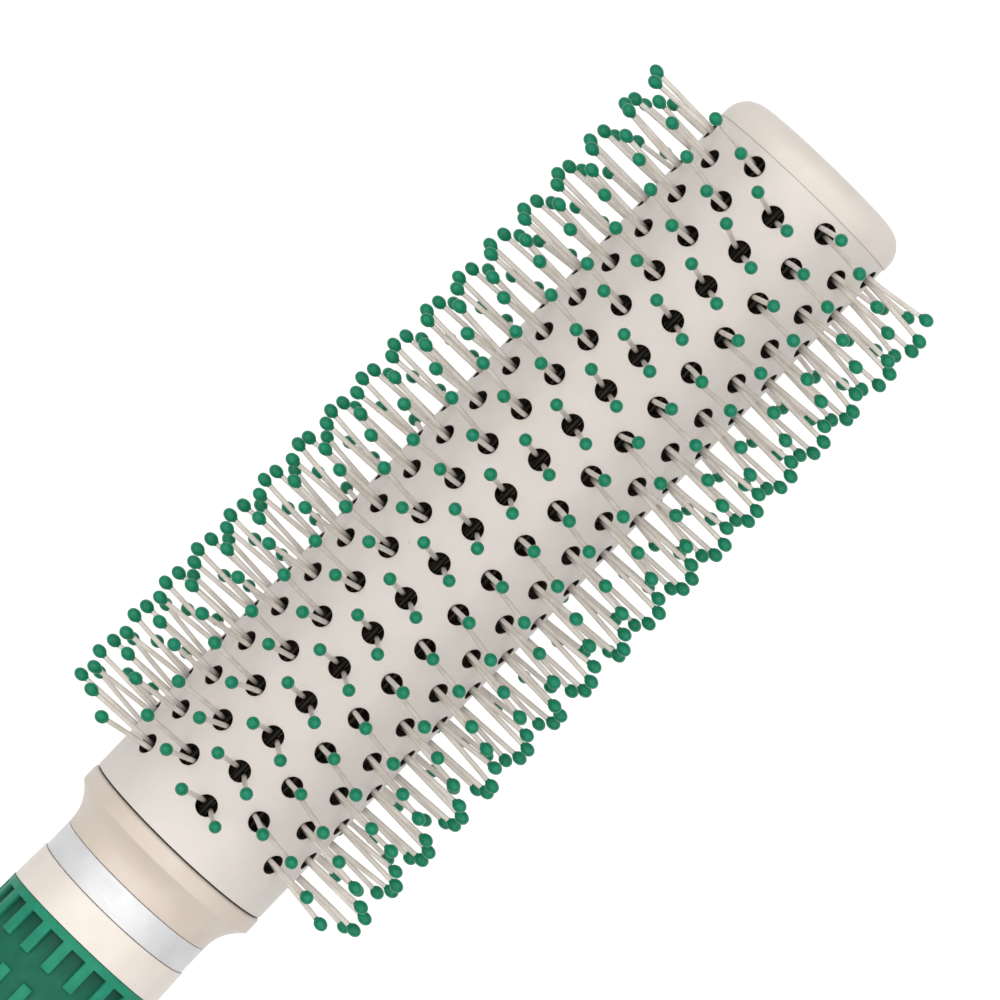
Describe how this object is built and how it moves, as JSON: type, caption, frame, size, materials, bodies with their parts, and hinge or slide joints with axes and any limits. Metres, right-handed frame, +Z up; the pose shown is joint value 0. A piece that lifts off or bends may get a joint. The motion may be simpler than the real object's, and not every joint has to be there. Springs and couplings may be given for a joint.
{
  "type": "round barrel hair brush",
  "caption": "Round hair brush with a vented off-white barrel, looped green ball-tipped nylon bristles, a silver trim ring and a green soft-grip handle.",
  "frame": {"origin": "middle of the box that bounds the brush, on the surface that its lowest bristle tips rest on", "axes": "+X along the brush from the handle to the barrel's end cap, +Z up through the first row of bristles"},
  "size_m": [0.2634, 0.0582, 0.0581],
  "materials": {
    "barrel_coat": "thin warm off-white ceramic coat on aluminium tube, satin",
    "cap_plastic": "moulded plastic, coated warm off-white, satin",
    "neck_plastic": "moulded plastic, warm off-white, slightly pinker, satin",
    "core_plastic": "black moulded plastic",
    "satin_ring": "satin silver, finely turned",
    "grip_rubber": "green thermoplastic rubber, matt",
    "nylon": "translucent undyed nylon filament",
    "tip_green": "glossy green ball tips",
    "steel": "drawn steel"
  },
  "bodies": {
    "root": {"barrel_tube": "barrel_coat", "end_cap": "cap_plastic", "support_core": "core_plastic", "collar": "cap_plastic", "trim_ring": "satin_ring", "handle_body": "neck_plastic", "grip_sleeve": "grip_rubber", "butt_cap": "cap_plastic", "handle_screw": "steel", "screw_washer": "steel", "bristles_row_01": "nylon", "bristles_row_02": "nylon", "bristles_row_03": "nylon", "bristles_row_04": "nylon", "bristles_row_05": "nylon", "bristles_row_06": "nylon", "bristles_row_07": "nylon", "bristles_row_08": "nylon", "bristles_row_09": "nylon", "bristles_row_10": "nylon", "bristles_row_11": "nylon", "bristles_row_12": "nylon", "bristles_row_13": "nylon", "bristles_row_14": "nylon", "tips_row_01": "tip_green", "tips_row_02": "tip_green", "tips_row_03": "tip_green", "tips_row_04": "tip_green", "tips_row_05": "tip_green", "tips_row_06": "tip_green", "tips_row_07": "tip_green", "tips_row_08": "tip_green", "tips_row_09": "tip_green", "tips_row_10": "tip_green", "tips_row_11": "tip_green", "tips_row_12": "tip_green", "tips_row_13": "tip_green", "tips_row_14": "tip_green", "wire_row_01": "steel", "wire_row_02": "steel", "wire_row_03": "steel", "wire_row_04": "steel", "wire_row_05": "steel", "wire_row_06": "steel", "wire_row_07": "steel", "wire_row_08": "steel", "wire_row_09": "steel", "wire_row_10": "steel", "wire_row_11": "steel", "wire_row_12": "steel", "wire_row_13": "steel", "wire_row_14": "steel"}
  },
  "joints": []
}
